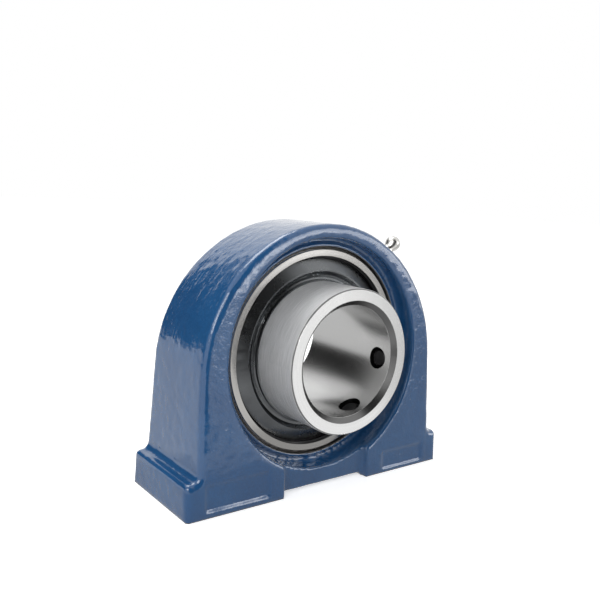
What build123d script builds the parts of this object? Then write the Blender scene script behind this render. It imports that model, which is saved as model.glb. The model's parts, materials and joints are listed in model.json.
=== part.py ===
from build123d import *
from math import cos, radians, sin, sqrt, tan
import os

# A pillow block bearing: a cast housing on two tapped feet, holding a self-aligning
# ball bearing insert with a long inner ring. Sizes are in millimetres.
# X runs along the base, Y along the shaft (its long inner-ring side is at -Y), Z is up.
# The origin is on the base plane, under the middle of the shaft.

# Driving dimensions of the housing
BASE_DEPTH = 41.5
FLOOR_WALL = 7.4            # iron under the pocket, down to the base plane
BODY_WALL = 10.5            # how much larger the body's arc is than the pocket
ARC_DROP = 5.2              # how far the arc's centre lies below the shaft
FACE_DRAFT = 3.2            # degrees that the front and back faces lean in
SIDE_DRAFT = 1.9            # degrees that the body's sides lean out below the arc
FOOT_REACH = 4.6            # how far each foot stands out past the body's side
FOOT_HEIGHT = 12.5
FOOT_CORNER = 1.8
FOOT_COVE = 2.2             # casting fillet where foot and body meet
CASTING_ROUND = 2.4         # rounding along the outer front and back edges
POCKET_ROOM = 1.8           # pocket wall outside the insert's sphere
POCKET_RIM_ROUND = 1.4
SEAT_WIDTH = 22.4           # axial length of the spherical seat
CHANNEL_DEPTH = 1.6         # shallow ring channel between the seat's bead and the wall
CHANNEL_WIDTH = 1.6
PANEL_WIDTH = 38.0          # set-back panel between the two feet
PANEL_SETBACK = 2.8
PANEL_CORNER = 2.0
UNDERSIDE_RELIEF = 0.9

# Bare sunken fields on the front of the two feet, from their inner end outwards
FIELD_DEPTH = 0.5
FIELD_CORNER = 0.8
LEFT_FIELD_START = 25.3
LEFT_FIELD_LENGTH = 25.7
LEFT_FIELD_LOW = 2.2
LEFT_FIELD_HEIGHT = 9.2
RIGHT_FIELD_START = 27.0
RIGHT_FIELD_LENGTH = 22.2
RIGHT_FIELD_LOW = 1.4
RIGHT_FIELD_HEIGHT = 7.4

# Bolt holes, tapped from below
BOLT_PAST_POCKET = 0.2      # from the pocket's side out to a bolt's axis
BOLT_DRILL_RADIUS = 6.0
BOLT_DEPTH = 20.0
DRILL_POINT = 118.0         # degrees, the included angle of a drill's point

# Driving dimensions of the bearing insert
SHAFT_DIAMETER = 40.0
OUTER_RING_WALL = 10.0      # from the balls' pitch circle out to the sphere
OUTER_RING_WIDTH = 21.0
OUTER_RING_EDGE = 1.2
INNER_RING_LENGTH = 49.2
INNER_RING_SHORT_SIDE = 19.6
INNER_RING_WALL = 6.0       # from the bore out to the ring's outside
BORE_MOUTH_CHAMFER = 1.8
RING_EDGE = 0.5
BALL_DIAMETER = 12.0
BALL_COUNT = 9
PITCH_STEP = 4.0            # from the inner ring's outside to the pitch circle
RACEWAY_CONFORMITY = 0.52   # groove radius as a share of the ball's diameter
OUTER_SHOULDER_STEP = 3.4   # from the pitch circle to the outer ring's shoulder
CAGE_SHEET = 0.5
CAGE_WIDTH = 3.6            # radial width of the ribbon
RIVET_RADIUS = 0.8
RIVET_HEAD_RADIUS = 1.35
RIVET_HEAD_HEIGHT = 0.5

# Seals and slingers
SEAL_OFFSET = 7.05          # from the ring's middle plane to the seal's inner face
SEAL_SEAT_STEP = 1.8        # from the outer ring's shoulder to its seal seat
SEAL_SHEET = 0.5
SEAL_FLANGE_LENGTH = 1.9
LIP_WIDTH = 3.2             # from the inner ring to the shell's edge
LIP_THICKNESS = 1.0
SLINGER_SHEET = 0.6
SLINGER_GAP = 1.0           # between the slinger's rim and the seal seat
SLINGER_CREST_STEP = 3.5    # from the inner ring to the slinger's crest
SLINGER_CREST_OFFSET = 10.1
SLINGER_RIM_OFFSET = 8.7
SLINGER_DISH = 0.8          # how far the inner band dips behind its crest and lip
SLINGER_BAND_STEP = 1.6     # from the inner ring to the dished band

# Set screws in the long side of the inner ring
SCREW_ANGLES = (-6.0, -68.0)
SCREW_END_DISTANCE = 8.2    # from the ring's front face to a screw's axis
SCREW_RADIUS = 4.0
SCREW_LENGTH = 7.0
SCREW_SETBACK = 0.8         # the point stands this far back from the bore
SCREW_SOCKET_ACROSS = 4.0
SCREW_SOCKET_DEPTH = 3.4
SCREW_POINT_CHAMFER = 1.2

# Grease fitting
GREASE_ANGLE = 44.5         # degrees up from the +X side
GREASE_OFFSET = -5.0
GREASE_CHANNEL_RADIUS = 1.5
GREASE_GROOVE_WIDTH = 3.8
GREASE_GROOVE_DEPTH = 1.2
RING_GREASE_HOLE_RADIUS = 0.9
SPOTFACE_RADIUS = 4.8
SPOTFACE_DEPTH = 0.5
FITTING_THREAD_RADIUS = 3.0
FITTING_THREAD_LENGTH = 5.5
FITTING_HEX_ACROSS = 7.0
FITTING_HEX_HEIGHT = 2.6
FITTING_NECK_RADIUS = 2.2
FITTING_HEAD_RADIUS = 3.0
FITTING_HEAD_HEIGHT = 7.5   # from the hex's seat to the middle of the head
FITTING_TIP_RADIUS = 1.7
FITTING_TIP_HEIGHT = 10.0
VALVE_BORE_RADIUS = 1.3
VALVE_MOUTH_RADIUS = 0.8
VALVE_BALL_RADIUS = 1.15
VALVE_SPRING_LENGTH = 5.0
VALVE_SPRING_WIRE = 0.18
VALVE_SPRING_TURNS = 6

# Clearances
SEAT_CLEARANCE = 0.06       # insert in the spherical seat, on the radius
BALL_CLEARANCE = 0.05       # ball in each raceway
POCKET_CLEARANCE = 0.12     # ball in its cage pocket
LIP_CLEARANCE = 0.05        # rubber lip over the inner ring
THREAD_CLEARANCE = 0.04
SLOT_CLEARANCE = 0.4        # the ring's width in the filling slots
RIVET_CLEARANCE = 0.03

# Values that follow
BORE_RADIUS = SHAFT_DIAMETER / 2
INNER_RING_RADIUS = BORE_RADIUS + INNER_RING_WALL
PITCH_RADIUS = INNER_RING_RADIUS + PITCH_STEP
OUTER_SHOULDER_RADIUS = PITCH_RADIUS + OUTER_SHOULDER_STEP
SEAL_SEAT_RADIUS = OUTER_SHOULDER_RADIUS + SEAL_SEAT_STEP
RING_SPHERE_RADIUS = PITCH_RADIUS + OUTER_RING_WALL
SEAT_RADIUS = RING_SPHERE_RADIUS + SEAT_CLEARANCE
INNER_RING_LONG_SIDE = INNER_RING_LENGTH - INNER_RING_SHORT_SIDE
SCREW_OFFSET = INNER_RING_LONG_SIDE - SCREW_END_DISTANCE
BALL_RADIUS = BALL_DIAMETER / 2
LIP_OUTER_RADIUS = INNER_RING_RADIUS + LIP_WIDTH
SLINGER_OUTER_RADIUS = SEAL_SEAT_RADIUS - SLINGER_GAP
SLINGER_CREST_RADIUS = INNER_RING_RADIUS + SLINGER_CREST_STEP
SLINGER_BAND_RADIUS = INNER_RING_RADIUS + SLINGER_BAND_STEP
HALF_RING = OUTER_RING_WIDTH / 2
HALF_SEAT = SEAT_WIDTH / 2
HALF_BASE_DEPTH = BASE_DEPTH / 2
POCKET_RADIUS = RING_SPHERE_RADIUS + POCKET_ROOM
CENTRE_HEIGHT = POCKET_RADIUS + FLOOR_WALL
BODY_RADIUS = POCKET_RADIUS + BODY_WALL
ARC_HEIGHT = CENTRE_HEIGHT - ARC_DROP
TOP_HEIGHT = ARC_HEIGHT + BODY_RADIUS
TANGENT_X = BODY_RADIUS * cos(radians(SIDE_DRAFT))
TANGENT_HEIGHT = ARC_HEIGHT + BODY_RADIUS * sin(radians(SIDE_DRAFT))
SIDE_X = TANGENT_X + (TANGENT_HEIGHT - FOOT_HEIGHT) * tan(radians(SIDE_DRAFT))
HALF_BASE_LENGTH = SIDE_X + FOOT_REACH
CUT = 2 * HALF_BASE_LENGTH  # longer than the casting in every direction
SHAFT_CENTRE = Pos(0, 0, CENTRE_HEIGHT)
BOLT_SPACING = 2 * (POCKET_RADIUS + BOLT_PAST_POCKET)
ARC_OFFSET = ARC_DROP * cos(radians(GREASE_ANGLE))  # from the arc's centre to the fitting's axis
ARC_REACH = sqrt(BODY_RADIUS ** 2 - ARC_OFFSET ** 2) - ARC_DROP * sin(radians(GREASE_ANGLE))
GREASE_SEAT_RADIUS = ARC_REACH - SPOTFACE_DEPTH
TO_GREASE_AXIS = SHAFT_CENTRE * Pos(0, GREASE_OFFSET, 0) * Rot(0, 90 - GREASE_ANGLE, 0)


def turned(points):
    """Turn a closed outline of (radius, y) points about the shaft's axis."""
    face = make_face(Polyline(*points, close=True))
    return SHAFT_CENTRE * revolve(face, Axis.Y)


def tube(inner, outer, y_low, y_high):
    """A plain ring about the shaft's axis."""
    return turned([(inner, y_low), (outer, y_low), (outer, y_high), (inner, y_high)])


def disc(radius, y_low, y_high):
    """A plain cylinder about the shaft's axis."""
    return turned([(0, y_low), (radius, y_low), (radius, y_high), (0, y_high)])


def mirrored_front_to_back(shape):
    """The same shape on the other side of the ring's middle plane."""
    return mirror(shape, about=Plane.XZ)


def ball_places():
    """Each ball's centre, the first straight above the shaft."""
    step = 360 / BALL_COUNT
    return [SHAFT_CENTRE * Rot(0, index * step, 0) * Pos(0, 0, PITCH_RADIUS) for index in range(BALL_COUNT)]


def rivet_places():
    """The middle of each bridge between two balls."""
    step = 360 / BALL_COUNT
    turns = [(index + 0.5) * step for index in range(BALL_COUNT)]
    return [SHAFT_CENTRE * Rot(0, turn, 0) * Pos(0, 0, PITCH_RADIUS) for turn in turns]


# Housing

def body_outline():
    """Front view of the casting: an arc over sides that lean out, standing on a long foot."""
    half = HALF_BASE_LENGTH
    side = [(TANGENT_X, TANGENT_HEIGHT), (SIDE_X, FOOT_HEIGHT), (half, FOOT_HEIGHT), (half, 0)]
    right_side = Polyline(*side)
    left_side = Polyline(*[(-x, z) for x, z in reversed(side)])
    bottom = Line((half, 0), (-half, 0))
    arc = ThreePointArc((-TANGENT_X, TANGENT_HEIGHT), (0, TOP_HEIGHT), (TANGENT_X, TANGENT_HEIGHT))
    outline = make_face([right_side, bottom, left_side, arc])
    coves = [v for v in outline.vertices() if abs(abs(v.X) - SIDE_X) < 0.01 and abs(v.Y - FOOT_HEIGHT) < 0.01]
    outline = fillet(coves, FOOT_COVE)
    corners = [v for v in outline.vertices() if abs(abs(v.X) - half) < 0.01 and v.Y > FOOT_HEIGHT / 2]
    return fillet(corners, FOOT_CORNER)


def half_depth(height):
    """Half the casting's depth at a height, with the draft of its faces."""
    return HALF_BASE_DEPTH - height * tan(radians(FACE_DRAFT))


def casting_block():
    """The solid outside of the casting, with drafted faces and rounded edges."""
    front_view = extrude(Plane.XZ * body_outline(), CUT, both=True)
    top = half_depth(TOP_HEIGHT)
    foot = HALF_BASE_DEPTH
    side_view = Polyline((-foot, 0), (foot, 0), (top, TOP_HEIGHT), (-top, TOP_HEIGHT), close=True)
    side_view = extrude(Plane.YZ * make_face(side_view), CUT, both=True)
    block = front_view & side_view
    faces = block.faces().filter_by(lambda f: abs(f.normal_at().Y) > 0.9)
    rims = [edge for face in faces for edge in face.edges() if edge.bounding_box().max.Z > 0.01]
    return fillet(rims, CASTING_ROUND)


def pocket_cut():
    """The round recess in front of the seat: its wall, the channel and the seat's beaded edge."""
    floor = HALF_SEAT - CHANNEL_DEPTH
    bead_inner = sqrt(SEAT_RADIUS ** 2 - HALF_SEAT ** 2)
    bead_outer = POCKET_RADIUS - CHANNEL_WIDTH
    outline = [
        (0, -HALF_SEAT),
        (bead_inner, -HALF_SEAT),
        (bead_outer - CHANNEL_DEPTH / 2, -HALF_SEAT),
        (bead_outer, -HALF_SEAT + CHANNEL_DEPTH / 2),
        (bead_outer, -floor),
        (POCKET_RADIUS, -floor),
        (POCKET_RADIUS, -CUT),
        (0, -CUT),
    ]
    return turned(outline)


def filling_slots():
    """Two slots at the back that let the insert in sideways before it is turned square."""
    slot_height = OUTER_RING_WIDTH + 2 * SLOT_CLEARANCE
    slot_radius = SEAT_RADIUS + SLOT_CLEARANCE / 2
    slab = SHAFT_CENTRE * Box(CUT, CUT, slot_height)
    return disc(slot_radius, 0, HALF_SEAT + CHANNEL_DEPTH) & slab


def set_back_panel():
    """The step back between the two feet, below the pocket, on the front."""
    pocket_drop = sqrt(POCKET_RADIUS ** 2 - (PANEL_WIDTH / 2) ** 2)
    panel_top = CENTRE_HEIGHT - pocket_drop + POCKET_RIM_ROUND
    middle_depth = half_depth(panel_top / 2) - PANEL_SETBACK
    block = Pos(0, -middle_depth - CUT / 2, panel_top / 2) * Box(PANEL_WIDTH, CUT, panel_top)
    coves = block.edges().filter_by(Axis.Z).group_by(Axis.Y)[-1]
    return fillet(coves, PANEL_CORNER)


def sunken_field(side, start, length, low, height):
    """A shallow rectangle sunk in the front of one foot, square to its drafted face."""
    middle = low + height / 2
    block = Box(length, 2 * FIELD_DEPTH, height)
    block = fillet(block.edges().filter_by(Axis.Y), FIELD_CORNER)
    return Pos(side * (start + length / 2), -half_depth(middle), middle) * Rot(-FACE_DRAFT, 0, 0) * block


def tapped_hole():
    """A blind hole drilled up from the base, with its drill point."""
    point_height = BOLT_DRILL_RADIUS / tan(radians(DRILL_POINT / 2))
    outline = Polyline(
        (0, 0),
        (BOLT_DRILL_RADIUS, 0),
        (BOLT_DRILL_RADIUS, BOLT_DEPTH),
        (0, BOLT_DEPTH + point_height),
        close=True,
    )
    return revolve(Plane.XZ * make_face(outline), Axis.Z)


def grease_hole_and_groove():
    """The tapped hole for the fitting, its spot face, and the groove that it feeds."""
    thread_end = GREASE_SEAT_RADIUS - FITTING_THREAD_LENGTH - THREAD_CLEARANCE
    spot = Pos(0, 0, GREASE_SEAT_RADIUS + CUT / 2) * Cylinder(SPOTFACE_RADIUS, CUT)
    thread_length = GREASE_SEAT_RADIUS - thread_end
    thread = Cylinder(FITTING_THREAD_RADIUS + THREAD_CLEARANCE, thread_length)
    thread = Pos(0, 0, thread_end + thread_length / 2) * thread
    feed_start = SEAT_RADIUS - GREASE_GROOVE_DEPTH
    feed = Pos(0, 0, (feed_start + thread_end) / 2) * Cylinder(GREASE_CHANNEL_RADIUS, thread_end - feed_start)
    groove_radius = SEAT_RADIUS + GREASE_GROOVE_DEPTH
    groove_start = GREASE_OFFSET - GREASE_CHANNEL_RADIUS / 2 - GREASE_GROOVE_WIDTH / 2
    groove = disc(groove_radius, groove_start, groove_start + GREASE_GROOVE_WIDTH)
    return [TO_GREASE_AXIS * (spot + thread + feed), groove]


def housing():
    """The whole casting with everything that is machined into it."""
    body = casting_block()
    pocket = pocket_cut()
    body -= pocket
    body -= mirrored_front_to_back(pocket)
    rims = [
        edge
        for edge in body.edges().filter_by(GeomType.CIRCLE, reverse=True)
        if abs(edge.center(CenterOf.BOUNDING_BOX).Y) > HALF_SEAT and is_pocket_rim(edge)
    ]
    body = fillet(rims, POCKET_RIM_ROUND)
    panel = set_back_panel()
    body -= panel
    body -= mirrored_front_to_back(panel)
    body -= Pos(0, 0, UNDERSIDE_RELIEF / 2) * Box(PANEL_WIDTH, CUT, UNDERSIDE_RELIEF)
    body -= SHAFT_CENTRE * Sphere(SEAT_RADIUS)
    body -= filling_slots()
    for side in (-1, 1):
        body -= Pos(side * BOLT_SPACING / 2, 0, 0) * tapped_hole()
    for cut in grease_hole_and_groove():
        body -= cut
    body -= sunken_field(-1, LEFT_FIELD_START, LEFT_FIELD_LENGTH, LEFT_FIELD_LOW, LEFT_FIELD_HEIGHT)
    body -= sunken_field(1, RIGHT_FIELD_START, RIGHT_FIELD_LENGTH, RIGHT_FIELD_LOW, RIGHT_FIELD_HEIGHT)
    return body


def is_pocket_rim(edge):
    """Whether an edge lies all round at the pocket's radius."""
    reach = [(edge @ step - Vector(0, 0, CENTRE_HEIGHT)) for step in (0.1, 0.4, 0.8)]
    return all(abs(sqrt(point.X ** 2 + point.Z ** 2) - POCKET_RADIUS) < 0.05 for point in reach)


# Bearing insert

def raceway_radius():
    return RACEWAY_CONFORMITY * BALL_DIAMETER


def outer_ring():
    """The outer ring: a spherical outside, seal seats and the outer raceway."""
    corner = sqrt(RING_SPHERE_RADIUS ** 2 - HALF_RING ** 2)
    sphere = ThreePointArc((corner, -HALF_RING), (RING_SPHERE_RADIUS, 0), (corner, HALF_RING))
    inside = Polyline(
        (corner, HALF_RING),
        (SEAL_SEAT_RADIUS, HALF_RING),
        (SEAL_SEAT_RADIUS, SEAL_OFFSET),
        (OUTER_SHOULDER_RADIUS, SEAL_OFFSET),
        (OUTER_SHOULDER_RADIUS, -SEAL_OFFSET),
        (SEAL_SEAT_RADIUS, -SEAL_OFFSET),
        (SEAL_SEAT_RADIUS, -HALF_RING),
        (corner, -HALF_RING),
    )
    profile = make_face([sphere, inside])
    edges = [v for v in profile.vertices() if abs(v.X - corner) < 0.01]
    ring = SHAFT_CENTRE * revolve(chamfer(edges, OUTER_RING_EDGE), Axis.Y)
    groove_centre = PITCH_RADIUS + BALL_RADIUS + BALL_CLEARANCE - raceway_radius()
    ring -= SHAFT_CENTRE * Rot(90, 0, 0) * Torus(groove_centre, raceway_radius())
    hole_offset = SEAL_OFFSET - RING_GREASE_HOLE_RADIUS
    wall = RING_SPHERE_RADIUS - OUTER_SHOULDER_RADIUS
    hole = Pos(0, 0, OUTER_SHOULDER_RADIUS + wall / 2) * Cylinder(RING_GREASE_HOLE_RADIUS, 2 * wall)
    ring -= SHAFT_CENTRE * Pos(0, -hole_offset, 0) * Rot(0, 90 - GREASE_ANGLE, 0) * hole
    return ring


def inner_ring():
    """The inner ring: bore, raceway, and two tapped holes in its long side."""
    front = -INNER_RING_LONG_SIDE
    back = INNER_RING_SHORT_SIDE
    outline = [
        (BORE_RADIUS + BORE_MOUTH_CHAMFER, front),
        (INNER_RING_RADIUS - RING_EDGE, front),
        (INNER_RING_RADIUS, front + RING_EDGE),
        (INNER_RING_RADIUS, back - RING_EDGE),
        (INNER_RING_RADIUS - RING_EDGE, back),
        (BORE_RADIUS + BORE_MOUTH_CHAMFER, back),
        (BORE_RADIUS, back - BORE_MOUTH_CHAMFER),
        (BORE_RADIUS, front + BORE_MOUTH_CHAMFER),
    ]
    ring = turned(outline)
    groove_centre = PITCH_RADIUS - BALL_RADIUS - BALL_CLEARANCE + raceway_radius()
    ring -= SHAFT_CENTRE * Rot(90, 0, 0) * Torus(groove_centre, raceway_radius())
    for angle in SCREW_ANGLES:
        hole = Pos(0, 0, INNER_RING_RADIUS) * Cylinder(SCREW_RADIUS + THREAD_CLEARANCE, INNER_RING_RADIUS)
        ring -= screw_axis(angle) * hole
    return ring


def screw_axis(angle):
    """Frame on the shaft's axis whose Z points out along a set screw."""
    return SHAFT_CENTRE * Pos(0, -SCREW_OFFSET, 0) * Rot(0, 90 - angle, 0)


def set_screw(angle):
    """A socket set screw, backed out so that its cup point is clear of the bore."""
    point = SCREW_RADIUS - SCREW_POINT_CHAMFER
    cup_depth = SCREW_POINT_CHAMFER / 2
    outline = Polyline(
        (0, cup_depth),
        (point - cup_depth, 0),
        (point, 0),
        (SCREW_RADIUS, SCREW_POINT_CHAMFER),
        (SCREW_RADIUS, SCREW_LENGTH - RING_EDGE),
        (SCREW_RADIUS - RING_EDGE, SCREW_LENGTH),
        (0, SCREW_LENGTH),
        close=True,
    )
    screw = revolve(Plane.XZ * make_face(outline), Axis.Z)
    socket = RegularPolygon(SCREW_SOCKET_ACROSS / 2, 6, major_radius=False)
    screw -= Pos(0, 0, SCREW_LENGTH - SCREW_SOCKET_DEPTH) * extrude(socket, SCREW_SOCKET_DEPTH)
    return screw_axis(angle) * Pos(0, 0, BORE_RADIUS + SCREW_SETBACK) * screw


def cage_half(side):
    """One half of the pressed ribbon cage; side is -1 for the front and 1 for the back."""
    inner = PITCH_RADIUS - CAGE_WIDTH / 2
    outer = PITCH_RADIUS + CAGE_WIDTH / 2
    pocket_radius = BALL_RADIUS + POCKET_CLEARANCE
    reach = side * (pocket_radius + CAGE_SHEET)
    band = tube(inner, outer, min(0, reach), max(0, reach))
    domes = Part() + [place * Sphere(pocket_radius + CAGE_SHEET) for place in ball_places()]
    half = tube(inner, outer, min(0, side * CAGE_SHEET), max(0, side * CAGE_SHEET)) + (domes & band)
    for place in ball_places():
        half -= place * Sphere(pocket_radius)
    for place in rivet_places():
        half -= place * Rot(90, 0, 0) * Cylinder(RIVET_RADIUS + RIVET_CLEARANCE, 4 * CAGE_SHEET)
    return half


def cage_rivet():
    """One closed rivet along Y, with a shallow domed head on each side of the ribbon."""
    shank = Cylinder(RIVET_RADIUS, 2 * CAGE_SHEET)
    dome_radius = (RIVET_HEAD_RADIUS ** 2 + RIVET_HEAD_HEIGHT ** 2) / (2 * RIVET_HEAD_HEIGHT)
    head = Pos(0, 0, CAGE_SHEET + RIVET_HEAD_HEIGHT - dome_radius) * Sphere(dome_radius)
    head &= Pos(0, 0, CAGE_SHEET + RIVET_HEAD_HEIGHT / 2) * Cylinder(RIVET_HEAD_RADIUS, RIVET_HEAD_HEIGHT)
    return Rot(90, 0, 0) * (shank + head + mirror(head, about=Plane.XY))


def cage_rivets():
    return Compound(children=[place * cage_rivet() for place in rivet_places()])


def seal_shell():
    """The pressed steel shell of the front seal, held in the outer ring's seat."""
    back = -SEAL_OFFSET
    front = back - SEAL_SHEET
    outline = [
        (LIP_OUTER_RADIUS, back),
        (SEAL_SEAT_RADIUS, back),
        (SEAL_SEAT_RADIUS, back - SEAL_FLANGE_LENGTH),
        (SEAL_SEAT_RADIUS - SEAL_SHEET, back - SEAL_FLANGE_LENGTH),
        (SEAL_SEAT_RADIUS - SEAL_SHEET, front),
        (LIP_OUTER_RADIUS, front),
    ]
    return turned(outline)


def seal_lip():
    """The rubber moulded to the front shell's inner edge, running on the inner ring."""
    back = -SEAL_OFFSET
    tip = INNER_RING_RADIUS + LIP_CLEARANCE
    outline = [
        (LIP_OUTER_RADIUS, back),
        (tip + LIP_THICKNESS, back),
        (tip, back - LIP_THICKNESS / 3),
        (tip, back - LIP_THICKNESS * 2 / 3),
        (tip + LIP_THICKNESS, back - LIP_THICKNESS),
        (LIP_OUTER_RADIUS - LIP_THICKNESS, back - LIP_THICKNESS),
        (LIP_OUTER_RADIUS, back - SEAL_SHEET),
    ]
    return turned(outline)


def slinger():
    """The front flinger: a sheet ring pressed on the inner ring, dished, with a sloping rim."""
    bore = INNER_RING_RADIUS
    crest = -SLINGER_CREST_OFFSET
    rim = -SLINGER_RIM_OFFSET
    band = crest + SLINGER_DISH
    sheet = SLINGER_SHEET
    outline = [
        (bore, crest),
        (bore + sheet, crest),
        (SLINGER_BAND_RADIUS, band),
        (SLINGER_CREST_RADIUS - sheet, band - sheet / 4),
        (SLINGER_CREST_RADIUS, crest),
        (SLINGER_OUTER_RADIUS, rim),
        (SLINGER_OUTER_RADIUS, rim + sheet),
        (SLINGER_CREST_RADIUS, crest + sheet),
        (SLINGER_BAND_RADIUS, band + sheet),
        (bore, band + sheet),
    ]
    return turned(outline)


# Grease fitting

def fitting_body():
    """The fitting's turned body: thread, hexagon, neck and round head with a through bore."""
    tip_start = FITTING_HEAD_HEIGHT + sqrt(FITTING_HEAD_RADIUS ** 2 - FITTING_TIP_RADIUS ** 2)
    neck_top = FITTING_HEAD_HEIGHT
    body = Pos(0, 0, -FITTING_THREAD_LENGTH / 2) * Cylinder(FITTING_THREAD_RADIUS, FITTING_THREAD_LENGTH)
    hexagon = RegularPolygon(FITTING_HEX_ACROSS / 2, 6, major_radius=False)
    body += extrude(hexagon, FITTING_HEX_HEIGHT)
    body += Pos(0, 0, neck_top / 2) * Cylinder(FITTING_NECK_RADIUS, neck_top)
    body += Pos(0, 0, FITTING_HEAD_HEIGHT) * Sphere(FITTING_HEAD_RADIUS)
    tip_length = FITTING_TIP_HEIGHT - FITTING_HEAD_HEIGHT
    body += Pos(0, 0, FITTING_HEAD_HEIGHT + tip_length / 2) * Cylinder(FITTING_TIP_RADIUS, tip_length)
    body &= Pos(0, 0, FITTING_TIP_HEIGHT - CUT / 2) * Cylinder(SPOTFACE_RADIUS, CUT)
    bore_top = valve_ball_height()
    bore_bottom = -FITTING_THREAD_LENGTH
    body -= Pos(0, 0, (bore_top + bore_bottom) / 2) * Cylinder(VALVE_BORE_RADIUS, bore_top - bore_bottom)
    body -= Pos(0, 0, bore_top) * Sphere(VALVE_BALL_RADIUS + LIP_CLEARANCE)
    body -= Pos(0, 0, FITTING_TIP_HEIGHT) * Cylinder(VALVE_MOUTH_RADIUS, FITTING_TIP_HEIGHT - bore_top)
    return body


def valve_ball_height():
    """Height of the check ball's centre above the hexagon's seat."""
    return FITTING_TIP_HEIGHT - VALVE_BALL_RADIUS - SEAL_SHEET


def fitting_place():
    return TO_GREASE_AXIS * Pos(0, 0, GREASE_SEAT_RADIUS)


def grease_fitting_ball():
    return fitting_place() * Pos(0, 0, valve_ball_height()) * Sphere(VALVE_BALL_RADIUS)


def grease_fitting_spring():
    """The light spring under the check ball."""
    coil_radius = VALVE_BORE_RADIUS - VALVE_SPRING_WIRE - LIP_CLEARANCE
    top = valve_ball_height() - VALVE_BALL_RADIUS
    path = Helix(VALVE_SPRING_LENGTH / VALVE_SPRING_TURNS, VALVE_SPRING_LENGTH, coil_radius)
    section = Plane(origin=path @ 0, z_dir=path % 0) * Circle(VALVE_SPRING_WIRE)
    return fitting_place() * Pos(0, 0, top - VALVE_SPRING_LENGTH) * sweep(section, path)


def all_parts():
    """Every piece by its node's name."""
    parts = {
        "housing": housing(),
        "outer_ring": outer_ring(),
        "inner_ring": inner_ring(),
        "cage_front_half": cage_half(-1),
        "cage_rear_half": cage_half(1),
        "cage_rivets": cage_rivets(),
        "front_seal_shell": seal_shell(),
        "rear_seal_shell": mirrored_front_to_back(seal_shell()),
        "front_seal_lip": seal_lip(),
        "rear_seal_lip": mirrored_front_to_back(seal_lip()),
        "front_slinger": slinger(),
        "rear_slinger": mirrored_front_to_back(slinger()),
        "grease_fitting_body": fitting_place() * fitting_body(),
        "grease_fitting_ball": grease_fitting_ball(),
        "grease_fitting_spring": grease_fitting_spring(),
    }
    for index, angle in enumerate(SCREW_ANGLES, start=1):
        parts[f"set_screw_{index}"] = set_screw(angle)
    for index, place in enumerate(ball_places(), start=1):
        parts[f"ball_{index}"] = place * Sphere(BALL_RADIUS)
    return parts


os.makedirs("parts", exist_ok=True)
for name, shape in all_parts().items():
    export_step(shape, f"parts/{name}.step")
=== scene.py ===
"""Dress the pillow block bearing and stand it in a plain photo studio.

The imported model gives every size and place. Sizes written here are in metres, most of
them as a count of millimetres times MM. X runs along the base, Y along the shaft and
Z up; the long side of the inner ring points to -Y.
"""

import json
import logging
import math
from dataclasses import dataclass
from enum import Enum
from typing import Sequence

import bmesh
import bpy
from mathutils import Matrix, Vector, noise


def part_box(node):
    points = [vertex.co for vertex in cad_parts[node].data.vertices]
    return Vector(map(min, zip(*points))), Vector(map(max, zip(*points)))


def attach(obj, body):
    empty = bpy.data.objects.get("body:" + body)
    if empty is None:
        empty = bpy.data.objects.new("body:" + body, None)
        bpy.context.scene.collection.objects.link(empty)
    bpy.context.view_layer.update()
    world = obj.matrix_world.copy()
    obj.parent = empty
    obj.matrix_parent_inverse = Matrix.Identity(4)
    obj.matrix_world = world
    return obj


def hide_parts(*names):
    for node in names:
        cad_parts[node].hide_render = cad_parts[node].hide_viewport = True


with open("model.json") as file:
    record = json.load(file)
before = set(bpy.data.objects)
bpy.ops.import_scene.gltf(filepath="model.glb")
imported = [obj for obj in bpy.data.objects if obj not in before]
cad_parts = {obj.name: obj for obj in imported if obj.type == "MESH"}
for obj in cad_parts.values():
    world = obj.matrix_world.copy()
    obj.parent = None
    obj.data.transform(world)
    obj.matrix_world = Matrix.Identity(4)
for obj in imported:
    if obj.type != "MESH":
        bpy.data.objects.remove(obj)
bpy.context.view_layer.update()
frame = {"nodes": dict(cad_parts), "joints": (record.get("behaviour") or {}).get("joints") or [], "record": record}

MM = 0.001
LOG = logging.getLogger("bearing")

BMesh = bmesh.types.BMesh
Material = bpy.types.Material
Outputs = bpy.types.NodeOutputs
Piece = bpy.types.Object
Socket = bpy.types.NodeSocket
Tree = bpy.types.NodeTree
Colour = tuple[float, float, float, float]
Span = tuple[float, float]


class Body(Enum):
    """The moving groups that a piece can ride on."""

    HOUSING = "housing"
    INNER = "insert_inner"
    SCREW_1 = "set_screw_1"
    SCREW_2 = "set_screw_2"


class Slot(Enum):
    """Material slots of the record."""

    PAINT = "blue_paint"
    SHEET = "dark_sheet"
    PLATE = "bright_plate"
    OXIDE = "black_oxide"


@dataclass(frozen=True)
class UnitFrame:
    """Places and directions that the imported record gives."""

    centre: Vector
    bore_radius: float
    bolt_holes: tuple[Vector, Vector]
    bolt_drill_radius: float
    grease_head: Vector
    grease_axis: Vector

    @classmethod
    def read(cls) -> "UnitFrame":
        """Read the shaft's centre, the bolt holes and the grease fitting from the mounts.

        Returns:
            The places as vectors in metres.
        """
        mounts = {mount["name"]: mount for mount in frame["record"]["mounts"]}
        shaft = Vector(mounts["shaft_bore"]["pos_m"])
        bolts = mounts["base_bolts"]["dims"]
        half_spacing = Vector((bolts["spacing_x_mm"] * MM / 2, 0, 0))
        fitting = mounts["grease_fitting"]
        return cls(
            centre=Vector((0, 0, shaft.z)),
            bore_radius=mounts["shaft_bore"]["dims"]["r_mm"] * MM,
            bolt_holes=(-half_spacing, half_spacing),
            bolt_drill_radius=bolts["hole_r_mm"] * MM,
            grease_head=Vector(fitting["pos_m"]),
            grease_axis=Vector(fitting["axis"]).normalized(),
        )


def facing(direction: Vector, place: Vector) -> Matrix:
    """Make a frame at a place, with its Z along a direction."""
    turn = direction.to_track_quat("Z", "Y").to_matrix().to_4x4()
    return Matrix.Translation(place) @ turn


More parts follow.
